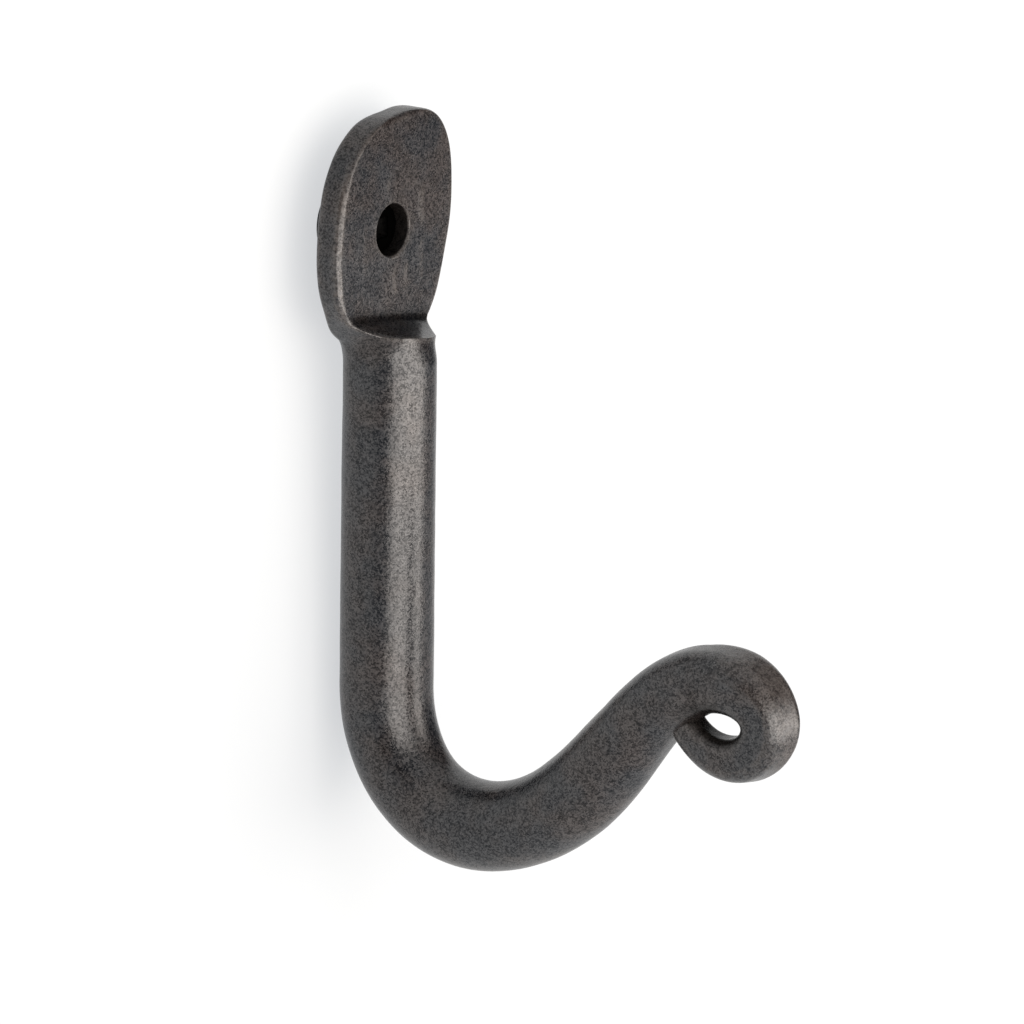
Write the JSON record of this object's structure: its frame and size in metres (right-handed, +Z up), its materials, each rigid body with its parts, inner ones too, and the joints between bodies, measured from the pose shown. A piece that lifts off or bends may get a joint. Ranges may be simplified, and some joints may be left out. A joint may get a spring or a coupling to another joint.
{
  "type": "shutter dog holdback",
  "caption": "Forged iron shutter holdback: an oval pad on a round shank that bends into a hook with a rolled end, turning on a wall screw with a spacer behind it.",
  "frame": {"origin": "the point where the screw's axis meets the wall's face, at the middle of the spacer's back", "axes": "+Y along the screw into the wall, +Z up, +X across the pad, to the right for someone facing the wall; the hook hangs down and reaches out to -Y"},
  "size_m": [0.0257, 0.1102, 0.1011],
  "materials": {
    "hook_iron": "semi-matt charcoal black, fine hammered grain",
    "screw_steel": "black coated steel",
    "spacer_steel": "black coated steel"
  },
  "bodies": {
    "fixing": {"pivot_screw": "screw_steel", "wall_spacer": "spacer_steel"},
    "hook": {"forged_hook": "hook_iron"}
  },
  "joints": [
    {"name": "hook_turn", "type": "hinge", "parent": "fixing", "child": "hook", "pos_m": [0, 0, 0], "axis": [0, 1, 0], "continuous": true}
  ]
}
